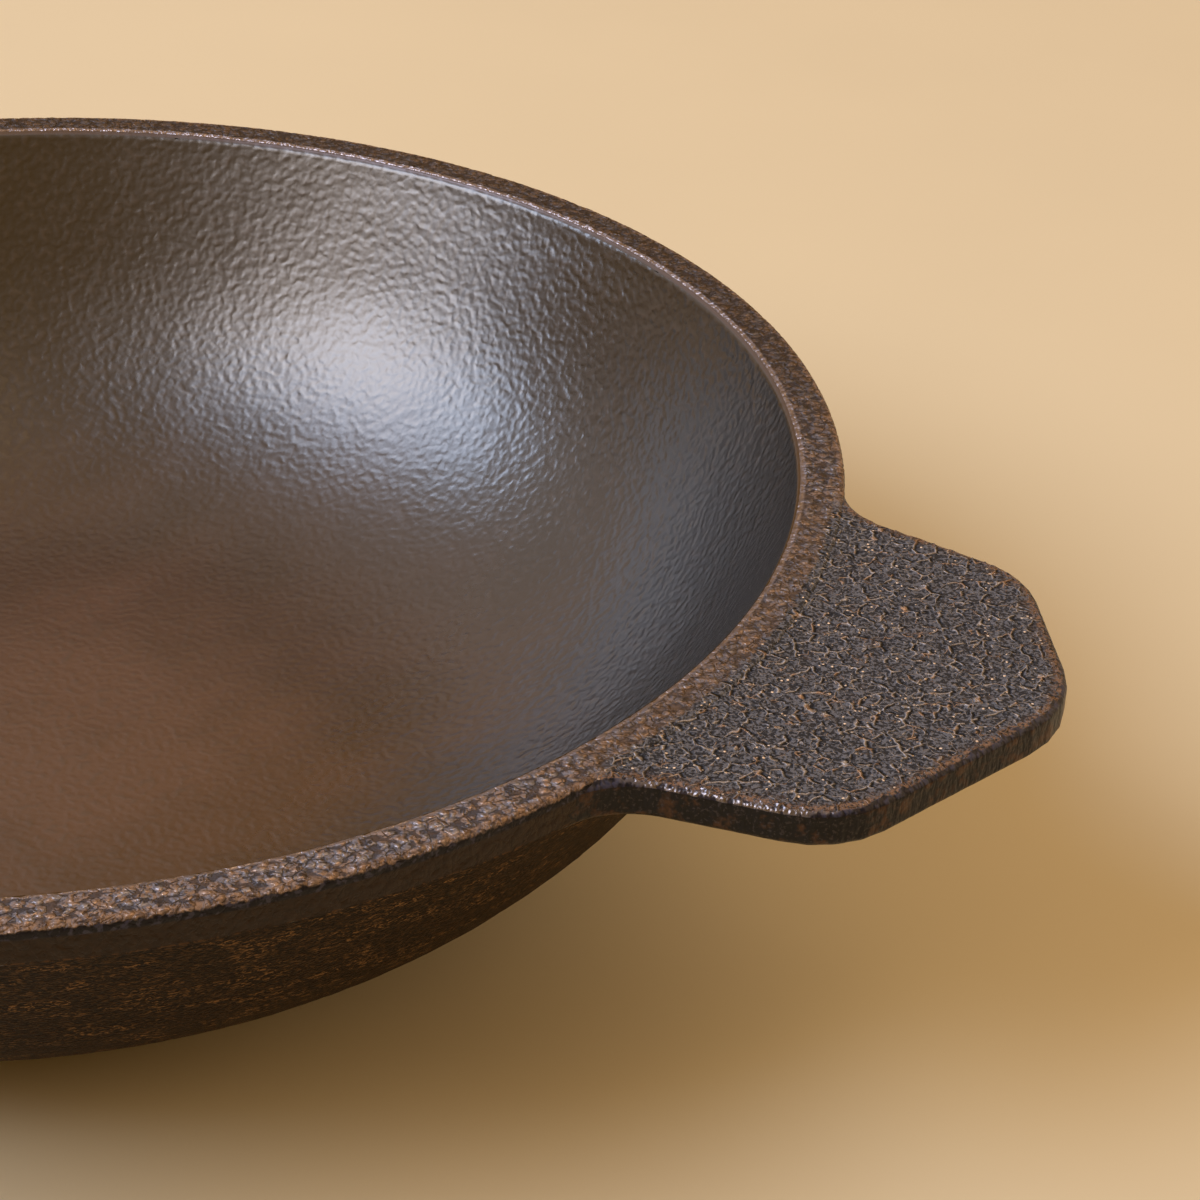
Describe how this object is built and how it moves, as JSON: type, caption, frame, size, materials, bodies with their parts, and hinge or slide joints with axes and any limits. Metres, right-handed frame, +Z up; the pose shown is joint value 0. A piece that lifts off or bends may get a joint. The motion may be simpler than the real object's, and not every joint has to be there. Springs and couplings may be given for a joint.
{
  "type": "cast iron kadai",
  "caption": "Round cast iron frying bowl with a flat rim, a flat foot and a flat plate handle with a blunt tip on each side.",
  "frame": {"origin": "middle of the foot's flat underside", "axes": "+Z up through the middle of the bowl, +X through the middle of the right handle"},
  "size_m": [0.3398, 0.26, 0.0634],
  "materials": {
    "bowl_iron": "seasoned cast iron, dark brown-grey, softly glossy and finely wrinkled inside, matt with rust-brown flecks outside",
    "rim_iron": "seasoned cast iron worn to a lighter brown, finely pitted",
    "handle_iron": "seasoned cast iron, charcoal grey with fine worm-like ridges and rust-brown edges",
    "foot_iron": "seasoned cast iron, ground flat underneath, matt dark brown"
  },
  "bodies": {
    "root": {"bowl": "bowl_iron", "rim": "rim_iron", "foot": "foot_iron", "handle_right": "handle_iron", "handle_left": "handle_iron"}
  },
  "joints": []
}
